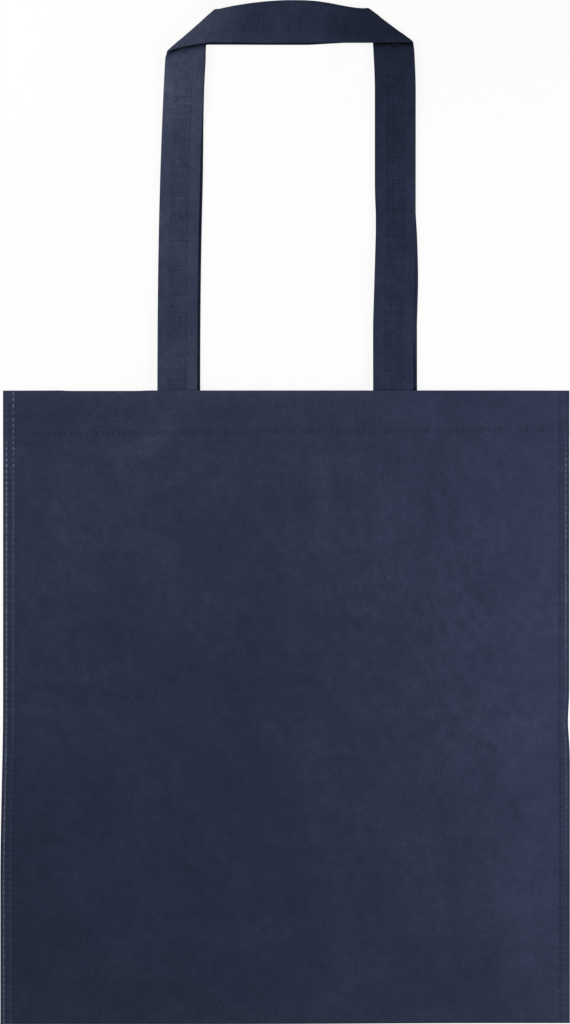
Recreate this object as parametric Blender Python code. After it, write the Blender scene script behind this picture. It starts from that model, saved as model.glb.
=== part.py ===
"""Nonwoven carrier bag lying flat on its back, with two long handles folded over at the top.

One sheet makes the bag: it is folded at the bottom, hemmed inward at both mouths and welded down both
sides. Each handle is a folded strip, welded inside its own hem and creased over at two corners.
X runs across the bag, Y from the bottom fold to the handles, Z up from the surface it lies on.
"""

import math
from collections import namedtuple

import bmesh
import bpy
from mathutils import Vector

MM = 0.001

# Outline of the bag and reach of its handles
BASE_WIDTH = 380 * MM
MOUTH_WIDTH = 377 * MM
WIDTH_EASE = 80 * MM
BAG_HEIGHT = 421.6 * MM
HANDLE_REACH = 260.2 * MM
Y_BOTTOM = -(BAG_HEIGHT + HANDLE_REACH) / 2
Y_MOUTH = Y_BOTTOM + BAG_HEIGHT
Y_CREST = Y_MOUTH + HANDLE_REACH

# Cloth, and the air between two layers that lie on each other
CLOTH = 0.5 * MM
AIR = 0.3 * MM
FOLDED = 2 * CLOTH + AIR

# Rise of the front panel over the rear one
LOFT = 7.8 * MM
FLANK = 45 * MM
FOOT = 60 * MM

# Hems, deeper at the left than at the right
HEM_DEPTH = 31 * MM
HEM_SKEW = 2 * MM
HEM_WELD = 27.1 * MM
HEM_WELD_WIDTH = 3.5 * MM
HEM_WELD_DEPTH = 0.15 * MM
HEM_STEP = 4 * MM

# Side seams: a fused margin with two pressed weld rows
MARGIN = 9 * MM
WELD_ROWS = (2.2 * MM, 6.9 * MM)
WELD_WIDTH = 1.0 * MM
WELD_DEPTH = 0.2 * MM
WELD_RAMP = 0.3 * MM
WALL_X = MOUTH_WIDTH / 2 - MARGIN

# The crease left by packing, across the middle of the front panel
PACK_CREASE = 221 * MM
PACK_CREASE_DEPTH = 0.6 * MM
PACK_CREASE_REACH = 9 * MM

# Handle strip
STRAP_WIDTH = 28 * MM
STRAP_THICKNESS = 1.2 * MM
STRAP_EDGE = 1.0 * MM
BAND_WIDTH = 10.7 * MM
BAND_DEPTH = 0.15 * MM
BAND_RAMP = 0.3 * MM
LAP_OFFSET = 2 * MM
LAP_STEP = 0.12 * MM
TUCK = 29 * MM
FOLD_RADIUS = 1.0 * MM
REAR_SHIFT = 1 * MM

# Top stretch of the handles: flat on what is below it near the crest, and raised at its two ends
TOP_WIDTH = 29.2 * MM
CREST_X = 3.7 * MM
TOP_EDGE = Y_CREST - TOP_WIDTH
TOP_EASE = 25 * MM
TOP_FLAT = 8 * MM
TOP_CLIMB = 40 * MM
TOP_FAN = 12 * MM

# Each corner: where its strap leaves the mouth, how far that strap leans, and where its diagonal
# fold starts and ends, as the inset from the strap's outer edge and the rise from the top
# stretch's lower edge or from the crest
CORNERS = {
    "left": {
        "side": -1,
        "root_x": 70.7 * MM,
        "lean": 3.7 * MM,
        "low": (3.3 * MM, -3.7 * MM),
        "high": (32.3 * MM, -6.9 * MM),
    },
    "right": {
        "side": 1,
        "root_x": 73.0 * MM,
        "lean": 0.4 * MM,
        "low": (1.9 * MM, 2.0 * MM),
        "high": (30.5 * MM, -6.1 * MM),
    },
}
LEAN_REACH = 220 * MM
FAN_START = Y_CREST - 56 * MM
STRAP_RISE = 30 * MM
STRAP_DROP = 30 * MM

# Heights of the middle of each strip: inside the mouth, along the straps and at the corners
HANDLES = {
    "front_handle": {
        "shift": 0.0,
        "tucked": LOFT - FOLDED - AIR - STRAP_THICKNESS / 2,
        "flat": STRAP_THICKNESS * 1.5 + AIR,
        "corner": STRAP_THICKNESS * 1.5 + 2 * FOLD_RADIUS + AIR,
    },
    "rear_handle": {
        "shift": REAR_SHIFT,
        "tucked": FOLDED + AIR + STRAP_THICKNESS / 2,
        "flat": STRAP_THICKNESS / 2,
        "corner": STRAP_THICKNESS / 2,
    },
}

NAVY_BODY = (0.0255, 0.0325, 0.0620, 1.0)
NAVY_STRAP = (0.0270, 0.0345, 0.0650, 1.0)


def clear_scene():
    """Removes whatever the scene holds, so that the file can run from Blender's text editor too."""
    for thing in list(bpy.data.objects):
        bpy.data.objects.remove(thing, do_unlink=True)


def fabric_material(name, colour):
    """Spun-bond nonwoven: matt, with no metal and little shine."""
    material = bpy.data.materials.new(name)
    material.use_nodes = True
    shader = material.node_tree.nodes["Principled BSDF"]
    shader.inputs["Base Color"].default_value = colour
    shader.inputs["Roughness"].default_value = 0.85
    shader.inputs["Metallic"].default_value = 0.0
    shader.inputs["Specular IOR Level"].default_value = 0.3
    return material


def ease(share):
    """A quarter sine: 0 at 0, 1 from 1 on, steep first and level at the end."""
    return math.sin(min(max(share, 0.0), 1.0) * math.pi / 2)


def blend(share):
    """A smooth step from 0 to 1, level at both ends."""
    share = min(max(share, 0.0), 1.0)
    return share * share * (3 - 2 * share)


def between(start, end, share):
    return start + (end - start) * share


def half_width(y):
    """Half the bag's width at a height: a little wider below the packing crease."""
    crease_y = Y_MOUTH - PACK_CREASE
    return between(BASE_WIDTH, MOUTH_WIDTH, blend((y - crease_y) / WIDTH_EASE + 0.5)) / 2


# A line along the bag from mouth to bottom. On an open column, inset counts from the seam's inner
# edge and the panels lie apart; on a fused one it counts from the cut edge and they are welded.
Column = namedtuple("Column", "side inset pressed is_open")


def side_columns(side):
    """The columns of one half, from its cut edge to near the middle."""
    columns = [Column(side, 0.0, 0.0, False)]
    half = WELD_WIDTH / 2
    for row in WELD_ROWS:
        columns.append(Column(side, row - half - WELD_RAMP, 0.0, False))
        columns.append(Column(side, row - half, WELD_DEPTH, False))
        columns.append(Column(side, row + half, WELD_DEPTH, False))
        columns.append(Column(side, row + half + WELD_RAMP, 0.0, False))
    for share in (0, 0.2, 0.35, 0.5, 0.65, 0.8, 1):
        columns.append(Column(side, share * share * FLANK, 0.0, True))
    for share in (0.4, 0.6, 0.8):
        columns.append(Column(side, share * WALL_X, 0.0, True))
    return columns


def bag_columns():
    middle = Column(1, WALL_X, 0.0, True)
    return side_columns(-1) + [middle] + side_columns(1)[::-1]


def column_x(column, y):
    edge = WALL_X if column.is_open else half_width(y)
    return column.side * (edge - column.inset)


def hem_share(x, distance):
    """1 in the hem, 0 below it, for a distance down from the mouth."""
    return 1 - blend((distance - HEM_DEPTH - hem_skew(x)) / HEM_STEP)


def hem_skew(x):
    return -HEM_SKEW * x / (MOUTH_WIDTH / 2)


def hem_pressed(x, distance):
    """How deep the hem's weld row is pressed at a place."""
    off = abs(distance - HEM_WELD - hem_skew(x)) - HEM_WELD_WIDTH / 2
    return HEM_WELD_DEPTH * (1 - min(max(off / WELD_RAMP, 0.0), 1.0))


def front_height(column, x, distance):
    """Height of the front panel's outer face before any weld is pressed into it."""
    in_hem = hem_share(x, distance)
    if not column.is_open:
        return between(2, 4, in_hem) * CLOTH
    flat = between(FOLDED, 2 * FOLDED + AIR, in_hem)
    foot = ease((BAG_HEIGHT - FOLDED / 2 - distance) / FOOT)
    loft = ease(column.inset / FLANK) * foot
    crease = 1 - blend(abs(distance - PACK_CREASE) / PACK_CREASE_REACH)
    return between(flat, LOFT, loft) - crease * PACK_CREASE_DEPTH * loft


def outer_height(column, face, distance):
    """Height of the outer face of the front panel (face 1) or the rear panel (face -1)."""
    x = column_x(column, Y_MOUTH - distance)
    pressed = column.pressed + hem_pressed(x, distance)
    if face > 0:
        return front_height(column, x, distance) - pressed
    return pressed


def stack_size(column):
    """Thickness of two layers that lie together: fused to each other in the side margins."""
    return FOLDED if column.is_open else 2 * CLOTH


def panel_rows(x):
    """Distances down from the mouth at which the panels have a line of points, at one place across."""
    skew = hem_skew(x)
    weld = HEM_WELD + skew
    half = HEM_WELD_WIDTH / 2
    hem = HEM_DEPTH + skew
    rows = [12 * MM, weld - half - WELD_RAMP, weld - half, weld + half, weld + half + WELD_RAMP]
    rows += [hem + HEM_STEP * share for share in (0.1, 0.5, 1.0)]
    rows += [60 * MM, 110 * MM, 160 * MM]
    rows += [PACK_CREASE + PACK_CREASE_REACH * share for share in (-1, -0.5, 0, 0.5, 1)]
    rows += [270 * MM, 320 * MM]
    foot_start = BAG_HEIGHT - FOLDED / 2
    rows += [foot_start - FOOT * share for share in (1, 0.75, 0.5, 0.32, 0.18, 0.08)]
    return rows


def point(column, distance, height):
    y = Y_MOUTH - distance
    return Vector((column_x(column, y), y, height))


def arc(column, centre, radius, angles):
    """Points round a mouth fold. The centre is (distance, height); 0 degrees is up and 90 out of the bag."""
    points = []
    for angle in angles:
        turn = math.radians(angle)
        distance = centre[0] - radius * math.sin(turn)
        points.append(point(column, distance, centre[1] + radius * math.cos(turn)))
    return points


def half_outer(column, face):
    """Outer skin of one panel, from the back of its mouth fold down to where the bottom fold starts."""
    radius = stack_size(column) / 2
    centre = (radius, outer_height(column, face, radius) - face * radius)
    points = arc(column, centre, radius, (90, 45, 0) if face > 0 else (90, 135, 180))
    x = column_x(column, Y_MOUTH)
    last = BAG_HEIGHT - bottom_radius(column)
    for distance in panel_rows(x) + [last]:
        points.append(point(column, distance, outer_height(column, face, distance)))
    return points


def half_cavity(column, face):
    """Skin of one panel that faces the inside: the hem's flap, its raw edge, and the panel behind it."""
    radius = FOLDED / 2
    centre = (radius, outer_height(column, face, radius) - face * radius)
    x = column_x(column, Y_MOUTH)
    raw = HEM_DEPTH + hem_skew(x)
    points = arc(column, centre, radius, (135, 180) if face > 0 else (45, 0))
    flap = [radius, raw / 2, raw]
    below = [point(column, d, flap_height(column, face, d) - face * CLOTH) for d in flap]
    above = [point(column, d, flap_height(column, face, d)) for d in flap]
    points += below[1:] + above[:0:-1]
    points += arc(column, centre, AIR / 2, (180, 90, 0) if face > 0 else (0, 90, 180))
    last = BAG_HEIGHT - bottom_radius(column)
    for distance in panel_rows(x) + [last]:
        height = outer_height(column, face, distance) - face * CLOTH
        points.append(point(column, distance, height))
    return points


def flap_height(column, face, distance):
    """Height of the face of a hem's flap that looks at its own panel."""
    skin = outer_height(column, face, FOLDED / 2) if face > 0 else 0.0
    return skin - face * (CLOTH + AIR)


def bottom_radius(column):
    """Outer radius of the bottom fold, which is half the thickness of the stack there."""
    return stack_size(column) / 2 - column.pressed


def bottom_fold(column, thickness):
    """Points round the bottom fold, on its outer skin or, with a thickness, on its inner one."""
    radius = bottom_radius(column)
    middle = stack_size(column) / 2
    points = []
    for angle in (45, 90, 135):
        turn = math.radians(angle)
        distance = BAG_HEIGHT - radius + (radius - thickness) * math.sin(turn)
        height = middle + (radius - thickness) * math.cos(turn)
        points.append(point(column, distance, height))
    return points


def bridge(mesh, first, second):
    """Quads between two lines of points with the same count."""
    for k in range(len(first) - 1):
        mesh.faces.new((first[k], first[k + 1], second[k + 1], second[k]))


def close_edge(mesh, loop):
    """Quads across the cut side edge, from its front points to its rear ones."""
    last = len(loop) - 1
    middle = len(loop) // 2
    for k in range(middle - 1):
        mesh.faces.new((loop[k], loop[k + 1], loop[last - k - 1], loop[last - k]))
    mesh.faces.new((loop[middle - 1], loop[middle], loop[middle + 1]))


def finish_object(name, mesh, material):
    """Turns a bmesh into a named object, smooth but for its real edges."""
    bmesh.ops.recalc_face_normals(mesh, faces=mesh.faces[:])
    data = bpy.data.meshes.new(name)
    mesh.to_mesh(data)
    mesh.free()
    data.shade_smooth()
    data.set_sharp_from_angle(angle=math.radians(35))
    data.materials.append(material)
    thing = bpy.data.objects.new(name, data)
    bpy.context.scene.collection.objects.link(thing)
    return thing


def outer_skin(column):
    """From the front mouth fold over the front panel, round the bottom and up to the rear mouth fold."""
    return half_outer(column, 1) + bottom_fold(column, 0) + half_outer(column, -1)[::-1]


def inner_skin(column):
    """The same way round, over all that faces the inside."""
    return half_cavity(column, 1) + bottom_fold(column, CLOTH) + half_cavity(column, -1)[::-1]


def bag_body(material):
    """The bag as one thick sheet: outer skin, inner skin, hem flaps and fused side margins."""
    columns = bag_columns()
    mesh = bmesh.new()
    outer = []
    inner = []
    for column in columns:
        skin = [mesh.verts.new(place) for place in outer_skin(column)]
        lining = []
        if column.is_open:
            lining = [mesh.verts.new(place) for place in inner_skin(column)]
            lining = skin[:1] + lining + skin[-1:]
        outer.append(skin)
        inner.append(lining)
    for k in range(len(columns) - 1):
        bridge(mesh, outer[k], outer[k + 1])
        if inner[k] and inner[k + 1]:
            bridge(mesh, inner[k], inner[k + 1])
        else:
            mesh.faces.new((outer[k][0], outer[k + 1][0], outer[k + 1][-1], outer[k][-1]))
    close_edge(mesh, outer[0])
    close_edge(mesh, outer[-1])
    walls = [line for line in inner if line]
    mesh.faces.new(walls[0])
    mesh.faces.new(walls[-1])
    return finish_object("bag_body", mesh, material)


def strap_section():
    """Section of the handle strip as (across, up): rounded folded edges, a pressed band and a lap edge."""
    half = STRAP_WIDTH / 2
    up = STRAP_THICKNESS / 2
    band = BAND_WIDTH / 2
    pressed = up - BAND_DEPTH
    lap = pressed - LAP_STEP
    shoulder = (half - 0.3 * STRAP_EDGE, 0.7 * up)
    edge = [(half, 0.0), shoulder, (half - STRAP_EDGE, up), (band + BAND_RAMP, up)]
    left_edge = [(-across, height) for across, height in edge]
    under = [(-band, -pressed), (band, -pressed)]
    over = [(-band, pressed), (LAP_OFFSET, pressed), (LAP_OFFSET + LAP_STEP, lap), (band, lap)]
    right_under = [(across, -height) for across, height in edge[1:]]
    left_under = [(-across, height) for across, height in right_under]
    return left_edge + over + edge[::-1] + right_under + under[::-1] + left_under[::-1]


def strap_edges(corner, y):
    """(outer x, inner x) of a strap at a height, as distances from the middle of the bag."""
    lean = corner["lean"] * blend((y - Y_MOUTH) / LEAN_REACH)
    centre = corner["root_x"] - lean
    return centre + STRAP_WIDTH / 2, centre - STRAP_WIDTH / 2


def fold_line(corner):
    """The two ends of a corner's diagonal fold, (low, high), each as (distance from the middle, y)."""
    outer, _ = strap_edges(corner, Y_CREST)
    low = Vector((outer - corner["low"][0], TOP_EDGE + corner["low"][1]))
    high = Vector((outer - corner["high"][0], Y_CREST + corner["high"][1]))
    return low, high


def fold_axis(corner):
    """The fold's axis, which lies inside its outline, and the direction out of the corner."""
    low, high = fold_line(corner)
    along = (high - low).normalized()
    out = Vector((-along.y, along.x))
    if out.x < 0:
        out = -out
    inset = out * (FOLD_RADIUS + STRAP_THICKNESS / 2)
    return low - inset, high - inset, out


def upright_stations(handle, corner):
    """Stations up one strap, from its tucked end to its fold: (outer edge, inner edge, facing)."""
    low, high, _ = fold_axis(corner)
    up = Vector((0, 0, 1))
    stations = []
    drop_end = Y_MOUTH + STRAP_DROP
    rise_start = FAN_START - STRAP_RISE
    straight = [Y_MOUTH - TUCK, Y_MOUTH - TUCK / 2, Y_MOUTH]
    straight += [between(Y_MOUTH, drop_end, share) for share in (0.15, 0.3, 0.5, 0.7, 0.85, 1)]
    straight += [between(drop_end, rise_start, share) for share in (0.2, 0.4, 0.6, 0.8, 1)]
    straight += [between(rise_start, FAN_START, share) for share in (0.2, 0.4, 0.6, 0.8, 1)]
    for y in straight:
        outer_x, inner_x = strap_edges(corner, y)
        height = strap_height(handle, y)
        stations.append((Vector((outer_x, y, height)), Vector((inner_x, y, height)), up))
    height = handle["corner"]
    for share in (0.25, 0.5, 0.7, 0.85, 1):
        outer_y = between(FAN_START, low.y, share)
        inner_y = between(FAN_START, high.y, share)
        outer_x = between(strap_edges(corner, outer_y)[0], low.x, share**4)
        inner_x = between(strap_edges(corner, FAN_START)[1], high.x, share**2)
        stations.append((Vector((outer_x, outer_y, height)), Vector((inner_x, inner_y, height)), up))
    return stations


def strap_height(handle, y):
    """Height of a strap's middle: down out of the mouth, along, and up to its corner."""
    dropped = between(handle["tucked"], handle["flat"], blend((y - Y_MOUTH) / STRAP_DROP))
    return between(dropped, handle["corner"], blend((y - FAN_START + STRAP_RISE) / STRAP_RISE))


def fold_stations(handle, corner):
    """Stations round the diagonal fold, each lying along its axis."""
    low, high, out = fold_axis(corner)
    away = Vector((out.x, out.y, 0))
    up = Vector((0, 0, 1))
    centre = handle["corner"] + FOLD_RADIUS
    stations = []
    for angle in (30, 60, 90, 120, 150, 180):
        turn = math.radians(angle)
        facing = up * math.cos(turn) - away * math.sin(turn)
        moved = -facing * FOLD_RADIUS + up * centre
        stations.append((low.to_3d() + moved, high.to_3d() + moved, facing))
    return stations


def top_edges(corner, low_x, high_x):
    """y of the top stretch's lower and upper edges, at distances from the middle on a corner's side."""
    low, high, _ = fold_axis(corner)
    centre = corner["side"] * CREST_X
    nearness = max(0.0, 1 - (low.x - low_x) / TOP_EASE)
    lower = TOP_EDGE + (low.y - TOP_EDGE) * nearness**2
    across = (high_x - centre) / (high.x - centre)
    upper = Y_CREST - (Y_CREST - high.y) * across**2
    return lower, upper


def top_stations(handle, corner):
    """Stations from a fold to the crest, where the strip lies face down."""
    low, high, _ = fold_axis(corner)
    centre = corner["side"] * CREST_X
    square = high.x - TOP_FAN
    raised = handle["corner"] + 2 * FOLD_RADIUS
    down = Vector((0, 0, -1))
    shares = (0.15, 0.3, 0.5, 0.75, 1)
    pairs = [(between(low.x, square, share), between(high.x, square, share)) for share in shares]
    pairs += [(between(square, centre, share),) * 2 for share in (0.25, 0.5, 0.75)]
    stations = []
    for low_x, high_x in pairs:
        lower_y, upper_y = top_edges(corner, low_x, high_x)
        from_crest = (low_x + high_x) / 2 - centre
        height = between(handle["flat"], raised, blend((from_crest - TOP_FLAT) / TOP_CLIMB))
        stations.append((Vector((low_x, lower_y, height)), Vector((high_x, upper_y, height)), down))
    return stations


def crest_station(handle):
    lower = Vector((CREST_X, TOP_EDGE, handle["flat"]))
    upper = Vector((CREST_X, Y_CREST, handle["flat"]))
    return lower, upper, Vector((0, 0, -1))


def placed(station, corner):
    """A station with its distances from the middle turned into places, on its corner's side."""
    side = corner["side"]
    outer, inner, facing = (Vector((side * v.x, v.y, v.z)) for v in station)
    return outer, inner, facing


def handle_stations(handle):
    """All the stations of one handle, from its left end over both corners to its right end."""
    halves = {}
    for name, corner in CORNERS.items():
        path = upright_stations(handle, corner)
        path += fold_stations(handle, corner)
        path += top_stations(handle, corner)
        halves[name] = [placed(station, corner) for station in path]
    return halves["left"] + [crest_station(handle)] + halves["right"][::-1]


def handle_object(name, material):
    """One handle: its section swept through its stations and closed at both ends."""
    handle = HANDLES[name]
    section = strap_section()
    shift = Vector((handle["shift"], 0, 0))
    mesh = bmesh.new()
    rings = []
    for outer, inner, facing in handle_stations(handle):
        ring = []
        for across, up in section:
            place = outer.lerp(inner, across / STRAP_WIDTH + 0.5)
            ring.append(mesh.verts.new(place + facing * up + shift))
        rings.append(ring)
    for first, second in zip(rings, rings[1:]):
        bridge(mesh, first + first[:1], second + second[:1])
    mesh.faces.new(rings[0])
    mesh.faces.new(rings[-1])
    return finish_object(name, mesh, material)


def main():
    clear_scene()
    bag_body(fabric_material("nonwoven_body", NAVY_BODY))
    strap_cloth = fabric_material("nonwoven_strap", NAVY_STRAP)
    for name in HANDLES:
        handle_object(name, strap_cloth)


main()
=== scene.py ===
"""Looks of the nonwoven carrier bag: cloth, welds, folds and wrinkles, and the floor, light and camera.

The bag lies on its back and is seen from straight above. X runs across it, Y from the bottom fold to
the handles, Z up. A distance is measured down from the mouth, and a depth into the cloth from outside.
Lengths are in metres. Welds, creases and crumples are real heights in the meshes, and bump holds only
the fibres, the bond dots and a web of fine creases. Some light and shade is painted into the cloth's tone.
"""

import math
from collections import namedtuple

import bmesh
import bpy
import numpy as np
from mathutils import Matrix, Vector


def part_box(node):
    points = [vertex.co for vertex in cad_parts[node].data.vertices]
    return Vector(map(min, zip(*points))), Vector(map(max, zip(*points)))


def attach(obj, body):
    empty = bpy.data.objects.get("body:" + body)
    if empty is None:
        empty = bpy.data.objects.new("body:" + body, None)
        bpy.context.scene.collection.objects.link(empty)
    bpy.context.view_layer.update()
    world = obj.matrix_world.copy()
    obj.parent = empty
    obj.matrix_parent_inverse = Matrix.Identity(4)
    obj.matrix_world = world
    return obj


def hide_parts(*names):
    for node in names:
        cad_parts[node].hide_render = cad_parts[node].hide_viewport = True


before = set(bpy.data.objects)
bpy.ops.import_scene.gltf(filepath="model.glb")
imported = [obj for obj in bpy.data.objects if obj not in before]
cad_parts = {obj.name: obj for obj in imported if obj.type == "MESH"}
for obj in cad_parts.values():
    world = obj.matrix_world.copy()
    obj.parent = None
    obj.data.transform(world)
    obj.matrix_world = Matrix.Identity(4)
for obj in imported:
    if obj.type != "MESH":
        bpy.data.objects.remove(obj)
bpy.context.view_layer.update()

MM = 0.001
UP = Vector((0, 0, 1))

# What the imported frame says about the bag
BODY_LOW, BODY_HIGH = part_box("bag_body")
Y_MOUTH = BODY_HIGH.y
Y_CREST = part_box("front_handle")[1].y
BAG_HEIGHT = Y_MOUTH - BODY_LOW.y
LOFT = BODY_HIGH.z

# Thickness of the cloth, and the air between two layers that lie on each other
CLOTH = 0.5 * MM
AIR = 0.3 * MM
FOLDED = 2 * CLOTH + AIR
FOLD = FOLDED / 2

# A side edge: how far out it is at the mouth and at the bottom, where it moves out and over what length,
# and how far the crease that packing left pinches it in
SideEdge = namedtuple("SideEdge", "at_mouth at_bottom middle reach pinch")
EDGES = {
    -1: SideEdge(188.1 * MM, 189.9 * MM, 266 * MM, 120 * MM, 0.0),
    1: SideEdge(189.7 * MM, 190.1 * MM, 232 * MM, 40 * MM, 0.9 * MM),
}
PACK_CREASE = 221 * MM
PINCH_REACH = 13 * MM

# Rise of the front panel over the rear one
FLANK = 45 * MM
FOOT = 60 * MM
WALL_X = 179.5 * MM

# Hems, the row of short weld ticks that holds each, and how their skew comes and goes
HEM_DEPTH = 31 * MM
HEM_STEP = 4 * MM
HEM_SKEW = 2 * MM
HEM_EASE_IN = 20 * MM
HEM_EASE_OUT = (60 * MM, 90 * MM)
TICKS = 168
TICK_PRESS = 0.16 * MM

# Side seams: two rows of short weld dashes in a fused margin, 110 dashes to a row
WELD_ROWS = (2.3 * MM, 6.9 * MM)
WELD_MIDDLE = sum(WELD_ROWS) / 2
WELD_WIDTH = 0.9 * MM
WELD_RAMP = 0.3 * MM
DASHES = 110
DASH_PRESS = 0.22 * MM
DASH_PITCH = (BAG_HEIGHT - 2 * FOLD) / DASHES

# Handle strip: three layers folded on each other and welded along the middle
STRAP_WIDTH = 26.7 * MM
STRAP_THICKNESS = 1.2 * MM
STRAP_EDGE = 1.0 * MM
STRAP_PUFF = 0.30 * MM
PUFF_REACH = 10 * MM
BAND_WIDTH = 11.4 * MM
BAND_DEPTH = 0.16 * MM
BAND_RAMP = 0.5 * MM
BAR_PITCH = 1.89 * MM
BAR_DEPTH = 0.15 * MM
LAP_OFFSET = 2 * MM
LAP_STEP = 0.2 * MM
LAP_RAMP = 0.1 * MM

# Its course: tucked into the hem, up a strap, round a diagonal fold, and along the top to the crest
TUCK = 29 * MM
STRAP_DROP = 30 * MM
STRAP_RISE = 30 * MM
BEND_START = Y_CREST - 60 * MM
BEND_REACH = 40 * MM
FAN_START = Y_CREST - 56 * MM
FOLD_RADIUS = 1.0 * MM
TOP_FAN = 12 * MM
TOP_CLIMB = 40 * MM
TOP_FLAT = 8 * MM
CREST_X = 3.7 * MM

# How suddenly its edges turn at the fold. The top's upper one falls evenly or levels off there.
OUTER_TURN = 14
INNER_TURN = 5
LIP_TURN = 6
ARCH_TURNS = (1.8, 1.6)

# Stations: up a strap, in its fan, round the fold (degrees apart), in the fan after it, on the top
STRAP_STATIONS = 240
FAN_STATIONS = 60
FOLD_STEP = 6
TOP_FAN_STATIONS = 40
TOP_STATIONS = 30

# Each corner of a handle. Distances count out from the middle of the bag.
# outer: the strap's outer edge at the mouth.
# low, high: the ends of the diagonal fold, with their heights up from the crest.
# lean: how far the strap leans inward, from what height above the mouth, over what reach, how suddenly.
# bend: how far it leans inward again, close to the fold.
# rear_shift: how far out of the front strap the rear one lies, near the mouth and near the fold, and
# the heights between which that changes.
# ease: from where to where, seen from the fold, the top stretch's lower edge reaches the fold's height.
# lip: how far above that height it stays until it is at the fold.
# level: 1 where the upper edge levels off beside the fold, 0 where it falls evenly.
# gap: how far the painted shadow under the fold reaches, at the strap's inner edge and at its outer one.
CORNERS = {
    "left": {
        "side": -1,
        "outer": 85.1 * MM,
        "lean": (5.1 * MM, 0.0, 220 * MM, 2.35),
        "low": (79.0 * MM, -33.7 * MM),
        "high": (46.6 * MM, -5.4 * MM),
        "rear_shift": (-1.9 * MM, -0.3 * MM, 130 * MM, 215 * MM),
        "ease": (26 * MM, 0.0),
        "lip": 1.6 * MM,
        "level": 0,
        "bend": 0.0,
        "gap": (2.8 * MM, 2.8 * MM),
    },
    "right": {
        "side": 1,
        "outer": 85.4 * MM,
        "lean": (-1.8 * MM, 45 * MM, 60 * MM, 1.0),
        "low": (85.7 * MM, -27.4 * MM),
        "high": (55.3 * MM, -4.6 * MM),
        "rear_shift": (2.7 * MM, -0.6 * MM, 65 * MM, 140 * MM),
        "ease": (68 * MM, 45 * MM),
        "lip": -0.1 * MM,
        "level": 1,
        "bend": 1.2 * MM,
        "gap": (2.7 * MM, 2.7 * MM),
    },
}

# Each handle. crest: its lower and its upper edge at the crest, up from the solid's.
# tucked, flat, corner: how high the strip's middle lies in the hem, in the open, and at its fold.
HANDLES = {
    "front_handle": {
        "is_rear": 0,
        "crest": (-28.0 * MM, 0.6 * MM),
        "tucked": LOFT - FOLDED - AIR - STRAP_THICKNESS / 2,
        "flat": STRAP_THICKNESS * 1.5 + AIR,
        "corner": STRAP_THICKNESS * 1.5 + 2 * FOLD_RADIUS + AIR,
    },
    "rear_handle": {
        "is_rear": 1,
        "crest": (-29.3 * MM, -2.5 * MM),
        "tucked": FOLDED + AIR + STRAP_THICKNESS / 2,
        "flat": STRAP_THICKNESS / 2,
        "corner": STRAP_THICKNESS / 2,
    },
}

# Picture: its size in pixels, and the real size of one of them
PICTURE = (570, 1024)
PIXEL = 380 * MM / PICTURE[0]
CAMERA_HEIGHT = 4.5
SENSOR = 36.0

# Lamps (place, side of the square, power), room and floor
LAMPS = {
    "key": ((0.65, -0.12, 0.46), 0.4, 6.2),
    "fill": ((-0.57, 0.48, 0.52), 0.4, 6.2),
}
ROOM_LIGHT = 0.10
FLOOR_SIZE = 12.0
FLOOR_DROP = 0.2 * MM
FLOOR_GRAIN = 40.0
FLOOR_GREYS = ((0.84, 0.84, 0.84, 1), (0.86, 0.86, 0.86, 1))
FLOOR_WHITE = (0.995, 0.995, 0.995, 1)
FLOOR_SEEN = 0.9


def between(start, end, share):
    return start + (end - start) * share


def clip(values):
    return np.clip(values, 0.0, 1.0)


def blend(share):
    """A smooth step from 0 to 1, level at both ends."""
    share = clip(share)
    return share * share * (3 - 2 * share)


def ease(share):
    """A quarter sine: 0 at 0, 1 from 1 on, steep first and level at the end."""
    return np.sin(clip(share) * math.pi / 2)


# Camera, light and floor


def add_object(name, data):
    """A new object in the scene."""
    thing = bpy.data.objects.new(name, data)
    bpy.context.scene.collection.objects.link(thing)
    return thing


def make_camera():
    """Straight above the bag, with a long lens, so that the picture's frame just holds the outline."""
    data = bpy.data.cameras.new("camera")
    data.type = "PERSP"
    data.sensor_width = SENSOR
    data.lens = SENSOR * (CAMERA_HEIGHT - LOFT / 2) / (PICTURE[1] * PIXEL)
    data.clip_end = 30
    camera = add_object("camera", data)
    camera.location = (0, 0, CAMERA_HEIGHT)
    bpy.context.scene.camera = camera


def make_light():
    """A low key from the right, a low fill from the upper left, and an even, dim room."""
    for name, (place, size, power) in LAMPS.items():
        data = bpy.data.lights.new(name, "AREA")
        data.shape = "SQUARE"
        data.size = size
        data.energy = power
        lamp = add_object(name, data)
        lamp.location = place
        lamp.rotation_euler = Vector(place).to_track_quat("Z", "Y").to_euler()
    world = bpy.data.worlds.new("room")
    world.use_nodes = True
    graph = Graph(world.node_tree)
    background = world.node_tree.nodes["Background"]
    background.inputs["Color"].default_value = (1, 1, 1, 1)
    graph.link(graph.seen(ROOM_LIGHT, 1.0), background.inputs["Strength"])
    bpy.context.scene.world = world


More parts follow.
